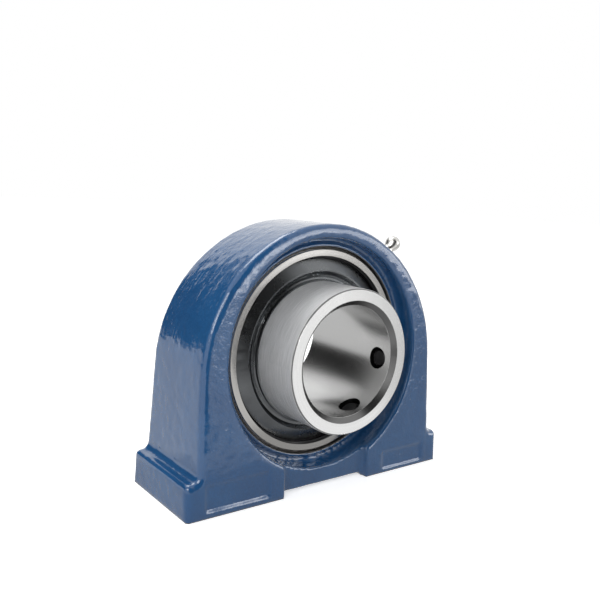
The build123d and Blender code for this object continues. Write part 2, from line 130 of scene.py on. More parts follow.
# Meshes

SHARP_TURN = math.radians(25)
WELD = 0.001 * MM
THREAD_WELD = 0.005 * MM
THREAD_RIM = 0.01 * MM


def in_metres(outline: Sequence[Span]) -> list[Span]:
    """Turn an outline of (radius, height) points from millimetres into metres."""
    return [(radius * MM, height * MM) for radius, height in outline]


def spin_outline(outline: Sequence[Span], steps: int) -> BMesh:
    """Turn a closed outline of (radius, height) points about Z.

    Args:
        outline: The points in metres, in order round the section.
        steps: How many flats make the full turn.

    Returns:
        The turned shape.
    """
    shape = bmesh.new()
    corners = [shape.verts.new((radius, 0, height)) for radius, height in outline]
    edges = [shape.edges.new(pair) for pair in zip(corners, corners[1:] + corners[:1])]
    bmesh.ops.spin(
        shape, geom=corners + edges, cent=(0, 0, 0), axis=(0, 0, 1),
        angle=math.tau, steps=steps, use_merge=True,
    )
    bmesh.ops.remove_doubles(shape, verts=shape.verts, dist=WELD)
    bmesh.ops.recalc_face_normals(shape, faces=shape.faces)
    return shape


def hexagon_prism(across: float, height: float, middle: float) -> BMesh:
    """Make a closed hexagonal prism about Z.

    Args:
        across: Its width across the flats.
        height: Its height.
        middle: How far up Z its middle lies.

    Returns:
        The prism.
    """
    shape = bmesh.new()
    corner_radius = across / math.sqrt(3)
    bmesh.ops.create_cone(
        shape, cap_ends=True, segments=6, radius1=corner_radius, radius2=corner_radius,
        depth=height, matrix=Matrix.Translation((0, 0, middle)),
    )
    return shape


def round_edges(shape: BMesh, width: float) -> None:
    """Bevel every edge that turns by more than SHARP_TURN.

    Args:
        shape: The mesh to round.
        width: The width of the bevel.
    """
    shared = [edge for edge in shape.edges if len(edge.link_faces) == 2]
    bmesh.ops.bevel(
        shape, geom=[edge for edge in shared if edge.calc_face_angle(0) > SHARP_TURN],
        offset=width, affect="EDGES", segments=2, profile=0.5, material=-1, clamp_overlap=True,
    )


def shade(mesh: bpy.types.Mesh, crease: float) -> None:
    """Shade a mesh smooth, and keep edges sharp that turn by more than a crease in degrees."""
    mesh.shade_smooth()
    mesh.set_sharp_from_angle(angle=math.radians(crease))


def make_piece(name: str, shape: BMesh, finish: Material, crease: float = 35.0) -> Piece:
    """Turn a bmesh into an object in the scene.

    Args:
        name: The piece's name.
        shape: Its shape, which is freed.
        finish: Its material.
        crease: Its faces are shaded smooth up to this many degrees; at 0 they stay flat.

    Returns:
        The new object.
    """
    mesh = bpy.data.meshes.new(name)
    shape.to_mesh(mesh)
    shape.free()
    mesh.materials.append(finish)
    piece = bpy.data.objects.new(name, mesh)
    bpy.context.scene.collection.objects.link(piece)
    if crease:
        shade(mesh, crease)
    return piece


def apply_modifiers(piece: Piece) -> None:
    """Apply every modifier of a piece to its mesh, and remove them.

    Args:
        piece: The piece.
    """
    graph = bpy.context.evaluated_depsgraph_get()
    mesh = bpy.data.meshes.new_from_object(piece.evaluated_get(graph))
    old = piece.data
    piece.modifiers.clear()
    piece.data = mesh
    mesh.name = old.name
    bpy.data.meshes.remove(old)


def carve(piece: Piece, tool: Piece, operation: str) -> None:
    """Cut one closed mesh with another, which is then removed.

    Args:
        piece: The piece that stays.
        tool: The closed shape that cuts it.
        operation: DIFFERENCE or INTERSECT.
    """
    cut = piece.modifiers.new("cut", "BOOLEAN")
    cut.operation = operation
    cut.solver = "EXACT"
    cut.object = tool
    apply_modifiers(piece)
    bpy.data.objects.remove(tool)


def thread_form(minor: float, major: float, pitch: float, length: float, steps: int) -> BMesh:
    """Make a closed threaded rod that stands on z = 0.

    Args:
        minor: Radius at the bottom of the thread.
        major: Radius at its crest.
        pitch: Its pitch.
        length: Its length along Z.
        steps: How many flats make one turn.

    Returns:
        The rod, its ends cut square.
    """
    shape = bmesh.new()
    section = [(minor, 0.06), (major, 0.44), (major, 0.56), (minor, 0.94), (minor, 1.06)]
    corners = [shape.verts.new((radius, 0, (share - 1) * pitch)) for radius, share in section]
    edges = [shape.edges.new(pair) for pair in zip(corners, corners[1:])]
    for _ in range(math.ceil(length / pitch) + 2):
        made = bmesh.ops.spin(
            shape, geom=corners + edges, cent=(0, 0, 0), axis=(0, 0, 1),
            dvec=(0, 0, pitch / steps), angle=math.tau, steps=steps,
        )
        last = made["geom_last"]
        corners = [item for item in last if isinstance(item, bmesh.types.BMVert)]
        edges = [item for item in last if isinstance(item, bmesh.types.BMEdge)]
    bmesh.ops.remove_doubles(shape, verts=shape.verts, dist=THREAD_WELD)
    for height, side in ((0.0, -1), (length, 1)):
        bmesh.ops.bisect_plane(
            shape, geom=shape.verts[:] + shape.edges[:] + shape.faces[:], dist=WELD,
            plane_co=(0, 0, height), plane_no=(0, 0, side), clear_outer=True,
        )
        open_edges = [edge for edge in shape.edges if edge.is_boundary]
        rim = [edge for edge in open_edges if abs(edge.verts[0].co.z - height) < THREAD_RIM]
        bmesh.ops.holes_fill(shape, edges=rim, sides=0)
    bmesh.ops.recalc_face_normals(shape, faces=shape.faces)
    return shape


# Shader node groups and finishes


def grey(value: float) -> Colour:
    """Make an even grey."""
    return (value, value, value, 1.0)


def dimmed(colour: Colour, share: float) -> Colour:
    """Dim a colour to a share of its brightness."""
    return tuple(share * part for part in colour[:3]) + (1.0,)


WHITE = grey(1.0)


class ShaderTree:
    """A node tree with short calls to add and join nodes.

    Where a call takes a number or a colour it takes a socket too, and it returns the socket
    of its result.
    """

    def __init__(self, tree: Tree) -> None:
        """Keep the tree that the calls add to."""
        self.tree = tree

    def add(self, kind: str, inputs: dict | None = None, **settings: object) -> bpy.types.Node:
        """Add a node.

        Args:
            kind: The node's type name without ShaderNode.
            inputs: Values or sockets by input name or index.
            settings: The node's own properties.

        Returns:
            The new node.
        """
        node = self.tree.nodes.new("ShaderNode" + kind)
        for name, value in settings.items():
            setattr(node, name, value)
        self.feed(node, inputs or {})
        return node

    def feed(self, node: bpy.types.Node, inputs: dict) -> None:
        """Set a node's inputs, or link sockets to them.

        Args:
            node: The node.
            inputs: Numbers, colours or output sockets by input name or index.
        """
        for name, value in inputs.items():
            if isinstance(value, Socket):
                self.tree.links.new(value, node.inputs[name])
            else:
                node.inputs[name].default_value = value

    def calc(self, operation: str, first: object, second: object = 0.0) -> Socket:
        """Work out one number from one or two with a Math node."""
        return self.add("Math", {0: first, 1: second}, operation=operation).outputs[0]

    def plus(self, first: object, second: object) -> Socket:
        """Add two numbers."""
        return self.calc("ADD", first, second)

    def minus(self, first: object, second: object) -> Socket:
        """Take the second number from the first."""
        return self.calc("SUBTRACT", first, second)

    def times(self, first: object, second: object) -> Socket:
        """Multiply two numbers."""
        return self.calc("MULTIPLY", first, second)

    def most(self, first: object, second: object) -> Socket:
        """Take the larger of two numbers."""
        return self.calc("MAXIMUM", first, second)

    def length(self, first: object, second: object) -> Socket:
        """Work out how long a vector of two parts is."""
        return self.calc("SQRT", self.plus(self.times(first, first), self.times(second, second)))

    def ramp(
        self, value: object, low: float, high: float, to_low: float = 0.0, to_high: float = 1.0
    ) -> Socket:
        """Map the range from low to high smoothly onto to_low to to_high, and clamp it."""
        inputs = {0: value, 1: low, 2: high, 3: to_low, 4: to_high}
        return self.add("MapRange", inputs, interpolation_type="SMOOTHSTEP").outputs[0]

    def fall(self, value: object, low: float, high: float) -> Socket:
        """Map a range of numbers smoothly onto 1 down to 0."""
        return self.ramp(value, low, high, 1.0, 0.0)

    def blend(self, share: object, first: object, second: object) -> Socket:
        """Mix two numbers by the share of the second."""
        return self.add("Mix", {0: share, 2: first, 3: second}, data_type="FLOAT").outputs[0]

    def mix(self, share: object, first: object, second: object) -> Socket:
        """Mix two colours by the share of the second."""
        return self.add("Mix", {0: share, 6: first, 7: second}, data_type="RGBA").outputs[2]

    def noise(self, place: Socket, scale: object, detail: float, roughness: float = 0.5) -> Outputs:
        """Add fractal noise that is looked up at a place, and return the node's outputs."""
        inputs = {"Vector": place, "Scale": scale, "Detail": detail, "Roughness": roughness}
        return self.add("TexNoise", inputs).outputs

    def spot(self) -> Outputs:
        """Give the X, Y and Z of a surface point in its object's own frame."""
        return self.add("SeparateXYZ", {0: self.add("TexCoord").outputs["Object"]}).outputs

    def shared(self, group: Tree, values: dict[str, float]) -> Outputs:
        """Place a shared group with its input values, and return the node's outputs."""
        return self.add("Group", values, node_tree=group).outputs

    def rays(self) -> tuple[Socket, Socket]:
        """Give masks of the camera's rays, and of those that a glossy or clear face sent on."""
        path = self.add("LightPath").outputs
        return path["Is Camera Ray"], self.most(path["Is Glossy Ray"], path["Is Transmission Ray"])

    def bump(self, height: Socket, depth: float) -> Socket:
        """Turn a height into a normal; a height of 1 counts as depth, in metres."""
        return self.add("Bump", {"Height": height, "Strength": 1.0, "Distance": depth}).outputs[0]


class NodeGroups:
    """Shader effects that several finishes share, each built once."""

    SWAY_REACH = 4.0 * MM  # how far the slow noise bends the lumps
    BRUSH_RADIUS = 12.0 * MM  # stretches the marks of the brush along the arc
    ARC_EDGE = 1.6 * MM  # depth over which the marks set in below the arc
    ARC_FOOT = 6.0 * MM  # height over which they set in above the arc's centre
    GRAIN_TURN = 0.7 * MM  # stretches the grinding lines round the axis
    EDGE_DEPTH = (0.03 * MM, 0.42 * MM)  # where a ring's chamfer starts and ends
    UNDERSIDE = 0.25 * MM  # below this height the casting is bare
    LUMP_SHARE, PEEL_SHARE, PIT_SHARE = 0.8, 0.2, 0.5  # of the paint's height

    def __init__(self) -> None:
        """Build every group."""
        self.peel = self._peel()
        self.turned = self._turned()
        self.speckle = self._speckle()
        self.machined = self._machined()

    @staticmethod
    def _start(name: str, inputs: Sequence[str]) -> tuple[ShaderTree, Outputs]:
        """Make an empty group.

        Args:
            name: The group's name.
            inputs: Its inputs, which are all numbers.

        Returns:
            The tree, and the sockets that give the inputs.
        """
        group = bpy.data.node_groups.new(name, "ShaderNodeTree")
        for label in inputs:
            group.interface.new_socket(label, in_out="INPUT", socket_type="NodeSocketFloat")
        return ShaderTree(group), group.nodes.new("NodeGroupInput").outputs

    @staticmethod
    def _finish(tree: ShaderTree, outputs: dict[str, Socket]) -> Tree:
        """Give a group its outputs.

        Args:
            tree: The group's tree.
            outputs: What each output gives, which is a number.

        Returns:
            The group.
        """
        for label in outputs:
            tree.tree.interface.new_socket(label, in_out="OUTPUT", socket_type="NodeSocketFloat")
        tree.feed(tree.tree.nodes.new("NodeGroupOutput"), outputs)
        return tree.tree

    def _peel(self) -> Tree:
        """Thick gloss paint over a sand casting: lumps, orange peel, pits, and brush marks.

        Returns:
            The group, which gives a height and a mask of where the paint lies thin.
        """
        tree, given = self._start("thick paint", ("Arc Height", "Arc Radius"))
        place = tree.add("TexCoord").outputs["Object"]
        sway = tree.noise(place, 90.0, 2.0)
        bend = {0: sway["Color"], 1: (self.SWAY_REACH,) * 3, 2: place}
        bent = tree.add("VectorMath", bend, operation="MULTIPLY_ADD").outputs[0]
        spot = tree.spot()
        rise = tree.minus(spot["Z"], given["Arc Height"])
        radius = tree.length(spot["X"], rise)
        turn = tree.times(tree.calc("ARCTAN2", spot["X"], rise), self.BRUSH_RADIUS)
        track = tree.add("CombineXYZ", {0: radius, 1: spot["Y"], 2: turn}).outputs[0]
        brush = tree.noise(track, 600.0, 1.5)["Fac"]
        edge = tree.minus(given["Arc Radius"], self.ARC_EDGE)
        on_arc = tree.ramp(radius, edge, given["Arc Radius"])
        on_arc = tree.times(on_arc, tree.ramp(rise, 0.0, self.ARC_FOOT))
        patches = tree.ramp(sway["Fac"], 0.40, 0.60, 0.3, 1.2)
        lump = tree.noise(bent, 480.0, 2.5)["Fac"]
        peel = tree.noise(bent, 1300.0, 1.0, 0.4)["Fac"]
        cells = tree.add("TexVoronoi", {"Vector": bent, "Scale": 170.0}, feature="SMOOTH_F1")
        pit = tree.ramp(cells.outputs["Distance"], 0.0, 0.16, -1.0, 0.0)
        height = tree.plus(tree.times(lump, self.LUMP_SHARE), tree.times(peel, self.PEEL_SHARE))
        height = tree.plus(height, tree.times(pit, self.PIT_SHARE))
        height = tree.plus(height, tree.times(brush, tree.times(on_arc, patches)))
        thin = tree.ramp(tree.noise(place, 45.0, 4.0, 0.6)["Fac"], 0.35, 0.68)
        return self._finish(tree, {"Height": height, "Thin": thin})

    def _turned(self) -> Tree:
        """Grinding lines that run round the shaft's axis, and where a ring's kinds of face lie.

        Outside, Mouth and Bore are radii that part its faces; Front and Back are its ends.

        Returns:
            The group, which gives a height, a streak, and masks of the outside, of all that
            lies within the mouth of the bore, and of the chamfers, where painted shade goes.
        """
        inputs = ("Centre Height", "Outside", "Mouth", "Bore", "Front", "Back")
        tree, given = self._start("turned grain", inputs)
        spot = tree.spot()
        rise = tree.minus(spot["Z"], given["Centre Height"])
        radius = tree.length(spot["X"], rise)
        turn = tree.times(tree.calc("ARCTAN2", rise, spot["X"]), self.GRAIN_TURN)
        track = tree.add("CombineXYZ", {0: radius, 1: spot["Y"], 2: turn}).outputs[0]
        lines = tree.noise(track, 4000.0, 3.0, 0.7)["Fac"]
        streaks = tree.noise(track, 1100.0, 2.0)["Fac"]
        outside = tree.calc("GREATER_THAN", radius, given["Outside"])
        within_mouth = tree.calc("LESS_THAN", radius, given["Mouth"])
        from_front = tree.calc("ABSOLUTE", tree.plus(spot["Y"], given["Front"]))
        from_back = tree.calc("ABSOLUTE", tree.minus(spot["Y"], given["Back"]))
        depth = tree.calc("MINIMUM", from_front, from_back)
        start, end = self.EDGE_DEPTH
        edge = tree.times(outside, tree.calc("LESS_THAN", depth, end))
        mouth = tree.times(tree.calc("GREATER_THAN", radius, given["Bore"]), within_mouth)
        sunk = tree.calc("GREATER_THAN", depth, start)
        return self._finish(tree, {
            "Height": lines,
            "Streak": tree.ramp(streaks, 0.3, 0.7),
            "Outside": outside,
            "Inside": within_mouth,
            # The chamfers and the bore's mouth, which the steel darkens as painted shade.
            "Chamfer Shade": tree.times(sunk, tree.most(edge, mouth)),
        })

    def _speckle(self) -> Tree:
        """Uneven sheen: smudges with a fine dust of darker specks.

        Returns:
            The group, which gives smudges, specks and a fine height.
        """
        tree, given = self._start("smudges and specks", ("Smudge Scale", "Speck Scale"))
        place = tree.add("TexCoord").outputs["Object"]
        smudge = tree.noise(place, given["Smudge Scale"], 5.0)["Fac"]
        speck = tree.noise(place, given["Speck Scale"], 2.0)["Fac"]
        masks = {"Smudge": tree.ramp(smudge, 0.35, 0.7), "Speck": tree.ramp(speck, 0.62, 0.72)}
        return self._finish(tree, masks | {"Height": speck})

    def _machined(self) -> Tree:
        """Where the casting is machined bare: its underside, its bolt holes and its seat.

        Returns:
            The group, which gives 1 on bare iron and 0 on paint.
        """
        inputs = ("Bolt X", "Bolt Radius", "Bolt Depth")
        inputs += ("Centre Height", "Seat Radius", "Seat Half Width")
        tree, given = self._start("bare machined iron", inputs)
        spot = tree.spot()
        under = tree.calc("LESS_THAN", spot["Z"], self.UNDERSIDE)
        from_bolt = tree.minus(tree.calc("ABSOLUTE", spot["X"]), given["Bolt X"])
        in_bolt = tree.calc("LESS_THAN", tree.length(from_bolt, spot["Y"]), given["Bolt Radius"])
        bolt = tree.times(in_bolt, tree.calc("LESS_THAN", spot["Z"], given["Bolt Depth"]))
        rise = tree.minus(spot["Z"], given["Centre Height"])
        from_centre = tree.length(tree.length(spot["X"], rise), spot["Y"])
        in_seat = tree.calc("LESS_THAN", from_centre, given["Seat Radius"])
        from_middle = tree.calc("ABSOLUTE", spot["Y"])
        narrow = tree.calc("LESS_THAN", from_middle, given["Seat Half Width"])
        holes = tree.most(bolt, tree.times(in_seat, narrow))
        return self._finish(tree, {"Mask": tree.most(under, holes)})


def new_material(name: str) -> tuple[Material, ShaderTree, bpy.types.Node]:
    """Make a material that holds a Principled shader alone.

    Args:
        name: The material's name.

    Returns:
        The material, its tree and its shader node.
    """
    material = bpy.data.materials.new(name)
    material.use_nodes = True
    shader = material.node_tree.nodes["Principled BSDF"]
    return material, ShaderTree(material.node_tree), shader


@dataclass(frozen=True)
class GlossPaint:
    """Thick gloss blue paint, with bare iron where the casting is machined.

    Its relief is calmer on the sides and the feet, where X passes end_from to end_to.
    """

    deep: Colour = (0.0120, 0.071, 0.193, 1.0)
    thin: Colour = (0.0155, 0.086, 0.222, 1.0)
    speck: Colour = (0.012, 0.055, 0.135, 1.0)
    speck_share: float = 0.25
    wear: Span = (0.53, 0.60)
    wear_share: float = 0.5
    roughness: float = 0.13
    spread: float = 0.10
    specular: float = 0.40
    coat_roughness: float = 0.03
    bare: Colour = (0.20, 0.20, 0.205, 1.0)
    bare_roughness: float = 0.42
    bare_metallic: float = 0.9
    bump_depth: float = 0.28 * MM
    end_from: float = 50.6 * MM
    end_to: float = 52.0 * MM
    end_relief: float = 0.3
    arc_height: float = 44.0 * MM
    arc_radius: float = 52.3 * MM
    bolt_margin: float = 1.0 * MM
    bolt_depth: float = 26.0 * MM
    seat_radius: float = 40.35 * MM
    seat_half_width: float = 11.0 * MM

    def build(self, groups: NodeGroups, place: UnitFrame) -> Material:
        """Build the material.

        Args:
            groups: The shared node groups.
            place: Where the seat and the bolt holes are.

        Returns:
            The material.
        """
        material, tree, shader = new_material("gloss blue casting paint")
        arc = {"Arc Height": self.arc_height, "Arc Radius": self.arc_radius}
        peel = tree.shared(groups.peel, arc)
        speckle = tree.shared(groups.speckle, {"Smudge Scale": 60.0, "Speck Scale": 900.0})
        bare_faces = {
            "Centre Height": place.centre.z,
            "Bolt X": place.bolt_holes[1].x,
            "Bolt Radius": place.bolt_drill_radius + self.bolt_margin,
            "Bolt Depth": self.bolt_depth,
            "Seat Radius": self.seat_radius,
            "Seat Half Width": self.seat_half_width,
        }
        machined = tree.shared(groups.machined, bare_faces)["Mask"]
        pointed = tree.add("NewGeometry").outputs["Pointiness"]
        worn = tree.ramp(pointed, *self.wear, 0.0, self.wear_share)
        blue = tree.mix(tree.most(peel["Thin"], worn), self.deep, self.thin)
        blue = tree.mix(tree.times(speckle["Speck"], self.speck_share), blue, self.speck)
        shine = tree.plus(tree.times(speckle["Smudge"], self.spread), self.roughness)
        from_middle = tree.calc("ABSOLUTE", tree.spot()["X"])
        calm = tree.ramp(from_middle, self.end_from, self.end_to, 1.0, self.end_relief)
        relief = tree.most(tree.minus(calm, machined), 0.0)
        height = tree.times(peel["Height"], relief)
        tree.feed(shader, {
            "Base Color": tree.mix(machined, blue, self.bare),
            "Metallic": tree.times(machined, self.bare_metallic),
            "Roughness": tree.blend(machined, shine, self.bare_roughness),
            "Specular IOR Level": self.specular,
            "Coat Weight": tree.minus(1.0, machined),
            "Coat Roughness": self.coat_roughness,
            "Normal": tree.bump(height, self.bump_depth),
        })
        return material


@dataclass(frozen=True)
class GroundSteel:
    """Hard steel, ground or turned round the shaft's axis, with its kinds of face told apart.

    The values that end in dim are shares of the colour's brightness, and the chamfers and the bore's mouth are
    darkened as painted shade. line_depth is the relief of a grinding line; face_lines and outside_lines are how
    much of it the faces get.
    """

    name: str
    colour: Colour
    roughness: float
    outside: float = 1.0
    mouth: float = 0.0
    bore: float = 0.0
    ends: Span = (1.0, 1.0)
    spread: float = 0.06
    streak_share: float = 0.2
    smudge_share: float = 0.08
    grain_dim: float = 0.82
    bore_dim: float = 0.76
    line_dim: float = 0.72
    # painted shade: how dark the chamfers and the bore's mouth are made
    chamfer_shade_dim: float = 0.22
    outside_roughness: float = 0.24
    outside_metallic: float = 0.30
    bore_roughness: float = 0.26
    line_depth: float = 0.003 * MM
    face_lines: float = 0.15
    outside_lines: float = 60.0

    def build(self, groups: NodeGroups, place: UnitFrame) -> Material:
        """Build the material.

        Args:
            groups: The shared node groups.
            place: Where the shaft's axis is.

        Returns:
            The material.
        """
        material, tree, shader = new_material(self.name)
        values = {"Outside": self.outside, "Mouth": self.mouth, "Bore": self.bore}
        ends = {"Front": self.ends[0], "Back": self.ends[1]}
        grain = tree.shared(groups.turned, {"Centre Height": place.centre.z} | values | ends)
        scales = {"Smudge Scale": 120.0, "Speck Scale": 1500.0}
        smudge = tree.shared(groups.speckle, scales)["Smudge"]
        outside = grain["Outside"]
        dim = dimmed(self.colour, self.grain_dim)
        colour = tree.mix(tree.times(grain["Streak"], self.streak_share), self.colour, dim)
        colour = tree.mix(tree.times(smudge, self.smudge_share), colour, dim)
        colour = tree.mix(grain["Inside"], colour, dimmed(self.colour, self.bore_dim))
        lines = tree.times(tree.ramp(grain["Height"], 0.35, 0.65), outside)
        colour = tree.mix(lines, colour, dimmed(self.colour, self.line_dim))
        # Painted shade: the chamfers and the bore's mouth are darkened strongly.
        colour = tree.mix(grain["Chamfer Shade"], colour, dimmed(self.colour, self.chamfer_shade_dim))
        rough = tree.plus(tree.times(grain["Streak"], self.spread), self.roughness)
        rough = tree.blend(outside, rough, self.outside_roughness)
        rough = tree.blend(grain["Inside"], rough, self.bore_roughness)
        share = tree.plus(self.face_lines, tree.times(outside, self.outside_lines))
        tree.feed(shader, {
            "Base Color": colour,
            "Metallic": tree.blend(outside, 1.0, self.outside_metallic),
            "Roughness": rough,
            "Normal": tree.bump(tree.times(grain["Height"], share), self.line_depth),
        })
        return material


@dataclass(frozen=True)
class PlainMetal:
    """Pressed, plated or blackened metal with an uneven sheen, or rubber at a metallic of 0."""

    name: str
    colour: Colour
    roughness: float
    metallic: float = 1.0
    smudge: float = 0.12
    smudge_share: float = 0.5
    smudge_dim: float = 0.7
    grit_depth: float = 0.004 * MM

    def build(self, groups: NodeGroups) -> Material:
        """Build the material.

        Args:
            groups: The shared node groups.

        Returns:
            The material.
        """
        material, tree, shader = new_material(self.name)
        speckle = tree.shared(groups.speckle, {"Smudge Scale": 150.0, "Speck Scale": 2500.0})
        share = tree.most(tree.times(speckle["Smudge"], self.smudge_share), speckle["Speck"])
        tree.feed(shader, {
            "Base Color": tree.mix(share, self.colour, dimmed(self.colour, self.smudge_dim)),
            "Metallic": self.metallic,
            "Roughness": tree.plus(tree.times(speckle["Smudge"], self.smudge), self.roughness),
            "Normal": tree.bump(speckle["Height"], self.grit_depth),
        })
        return material


class Finishes:
    """Every material of the unit."""

    OUTSIDE_DEPTH = 0.45 * MM  # the outside of the inner ring reaches this far down its chamfer
    MOUTH_WIDTH = 1.85 * MM
    BORE_MARGIN = 0.05 * MM

    def __init__(self, place: UnitFrame) -> None:
        """Build the node groups and the materials.

        Args:
            place: Places read from the record.
        """
        groups = NodeGroups()
        self.paint = GlossPaint().build(groups, place)
        outer = GroundSteel("ground outer ring steel", (0.46, 0.45, 0.435, 1.0), 0.13)
        self.outer = outer.build(groups, place)
        low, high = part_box("inner_ring")
        self.ring = GroundSteel(
            "ground inner ring steel",
            (0.80, 0.80, 0.795, 1.0),
            0.12,
            outside=high.x - self.OUTSIDE_DEPTH,
            mouth=place.bore_radius + self.MOUTH_WIDTH,
            bore=place.bore_radius + self.BORE_MARGIN,
            ends=(-low.y, high.y),
        ).build(groups, place)
        sheet = (0.18, 0.188, 0.195, 1.0)
        shell = (0.04, 0.04, 0.042, 1.0)
        oxide = (0.035, 0.035, 0.037, 1.0)
        metals = {
            "ball": PlainMetal("polished ball steel", grey(0.78), 0.06, smudge=0.03),
            "pressed": PlainMetal("pressed cage steel", (0.45, 0.45, 0.44, 1.0), 0.30),
            "shell": PlainMetal("dark seal shell", shell, 0.42),
            "sheet": PlainMetal("dark flinger sheet", sheet, 0.27, smudge=0.05),
            "rubber": PlainMetal("nitrile rubber", grey(0.02), 0.55, metallic=0.0),
            "oxide": PlainMetal("black oxide screw", oxide, 0.38),
            "plate": PlainMetal("bright zinc plate", (0.74, 0.73, 0.70, 1.0), 0.22),
            "spring": PlainMetal("spring wire", grey(0.50), 0.25),
        }
        self.metal = {name: metal.build(groups) for name, metal in metals.items()}


# Sub-assemblies


def dress(node: str, finish: Material) -> None:
    """Give a CAD node a material through its object's slots.

    Args:
        node: The node's name.
        finish: The material.
    """
    for material_slot in frame["nodes"][node].material_slots:
        material_slot.link = "OBJECT"
        material_slot.material = finish
    LOG.info("dressed %s in %s", node, finish.name)


@dataclass
class Casting:
    """The painted casting: a fine skin over the CAD housing, with the lumps of a sand casting.

    The machined faces, which stay true, are given by the seat's sphere and width, the bolt
    holes with a margin, and the spot face round the grease fitting.
    """

    place: UnitFrame
    finishes: Finishes
    weld: float = 0.002 * MM
    voxel: float = 0.72 * MM
    wave_size: float = 22 * MM
    wave_depth: float = 0.22 * MM
    lump_size: float = 3.6 * MM
    lump_depth: float = 0.16 * MM
    bare_band: float = 0.6 * MM
    foot_band: float = 0.2 * MM
    seat_radius: float = 40.1 * MM
    seat_half_width: float = 11.2 * MM
    bolt_margin: float = 1.2 * MM
    bolt_depth: float = 26 * MM
    spotface_radius: float = 5.0 * MM

    def build(self) -> None:
        """Build the skin and let it stand for the CAD housing."""
        source = frame["nodes"]["housing"]
        shape = bmesh.new()
        shape.from_mesh(source.data)
        bmesh.ops.remove_doubles(shape, verts=shape.verts, dist=self.weld)
        skin = make_piece("casting_skin", shape, self.finishes.paint, crease=0)
        remesh = skin.modifiers.new("skin", "REMESH")
        remesh.mode = "VOXEL"
        remesh.voxel_size = self.voxel
        remesh.use_smooth_shade = True
        apply_modifiers(skin)
        skin.data.materials.clear()
        skin.data.materials.append(self.finishes.paint)
        self._roughen(skin.data)
        skin.data.shade_smooth()
        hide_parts("housing")
        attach(skin, Body.HOUSING.value)
        LOG.info("casting_skin: %d faces", len(skin.data.polygons))

    def _cast_share(self, point: Vector) -> float:
        """Say how far a point is free of machined faces.

        Args:
            point: The point.

        Returns:
            0 on a machined face, 1 on the raw casting.
        """
        from_centre = (point - self.place.centre).length
        seat = max(from_centre - self.seat_radius, abs(point.y) - self.seat_half_width)
        bolts = [math.hypot(point.x - hole.x, point.y - hole.y) for hole in self.place.bolt_holes]
        from_bolt = min(bolts) - self.place.bolt_drill_radius - self.bolt_margin
        bolt = max(from_bolt, point.z - self.bolt_depth)
        to_fitting = point - self.place.grease_head
        aside = to_fitting - self.place.grease_axis * to_fitting.dot(self.place.grease_axis)
        nearest = min(point.z, seat, bolt, aside.length - self.spotface_radius)
        return min(max(nearest / self.bare_band, 0.0), 1.0)

    def _roughen(self, mesh: bpy.types.Mesh) -> None:
        """Press waves and lumps into the raw faces, never out of them.

        Args:
            mesh: The skin's mesh.
        """
        normals = [vertex.normal.copy() for vertex in mesh.vertices]
        for vertex, normal in zip(mesh.vertices, normals):
            wave = self._swell(vertex.co, self.wave_size, 2)
            lump = self._swell(vertex.co, self.lump_size, 3)
            depth = self.wave_depth * wave + self.lump_depth * lump
            vertex.co -= normal * self._cast_share(vertex.co) * depth
            if vertex.co.z < self.foot_band:
                vertex.co.z = 0.0

    @staticmethod
    def _swell(point: Vector, size: float, layers: int) -> float:
        """Read fractal noise at a point, with lumps of a size, as a height from 0 to 1."""
        return min(max(0.5 + 0.5 * noise.fractal(point / size, 1.0, 2.0, layers), 0.0), 1.0)


@dataclass
class Insert:
    """The bearing insert: rings, cage, balls, seals and flingers."""

    place: UnitFrame
    finishes: Finishes
    flats: int = 160
    edge: float = 0.16 * MM
    sheet: float = 0.5 * MM
    dish_depth: float = 1.4 * MM

    def build(self) -> None:
        """Dress the insert's CAD nodes and make its flingers."""
        dress("outer_ring", self.finishes.outer)
        dress("inner_ring", self.finishes.ring)
        for node in ("cage_front_half", "cage_rear_half", "cage_rivets"):
            dress(node, self.finishes.metal["pressed"])
        for node in (name for name in frame["nodes"] if name.startswith("ball_")):
            dress(node, self.finishes.metal["ball"])
        for side in ("front", "rear"):
            dress(f"{side}_seal_shell", self.finishes.metal["shell"])
            dress(f"{side}_seal_lip", self.finishes.metal["rubber"])
            self._flinger(side)

    def _flinger(self, side: str) -> None:
        """Make one flinger: a pressed ring with a dished inner band and a sloping rim.

        Args:
            side: front or rear.
        """
        low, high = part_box(f"{side}_slinger")
        outer, bore, sheet = high.x, outer_radius("inner_ring"), self.sheet
        root, crest = sorted((abs(low.y), abs(high.y)))
        dip = crest - self.dish_depth
        outline = [
            (bore, root), (bore, crest), (bore + 0.5 * MM, crest),
            (bore + 0.6 * MM, dip + 0.3 * MM), (bore + 1.2 * MM, dip),
            (bore + 2.2 * MM, dip + 0.15 * MM), (bore + 3.3 * MM, crest - 0.25 * MM),
            (bore + 3.6 * MM, crest), (bore + 4.1 * MM, crest - 0.05 * MM),
            (outer - 0.2 * MM, root + 0.05 * MM), (outer, root - 0.15 * MM),
            (outer - 0.1 * MM, root + 0.15 * MM - sheet),
            (bore + 4.0 * MM, crest - sheet - 0.15 * MM),
            (bore + 3.4 * MM, crest - sheet - 0.45 * MM),
            (bore + 2.2 * MM, dip + 0.1 * MM - sheet), (bore + 0.5 * MM, dip - sheet),
        ]
        turn = Vector((0, -1, 0)) if side == "front" else Vector((0, 1, 0))
        shape = spin_outline(outline, self.flats)
        shape.transform(facing(turn, self.place.centre))
        round_edges(shape, self.edge)
        piece = make_piece(f"{side}_flinger", shape, self.finishes.metal["sheet"], crease=12.0)
        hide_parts(f"{side}_slinger")
        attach(piece, Body.INNER.value)
        LOG.info("made %s", piece.name)


def outer_radius(node: str) -> float:
    """Read the outside radius of a CAD node that is turned about the shaft's axis."""
    low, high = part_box(node)
    return (high.x - low.x) / 2


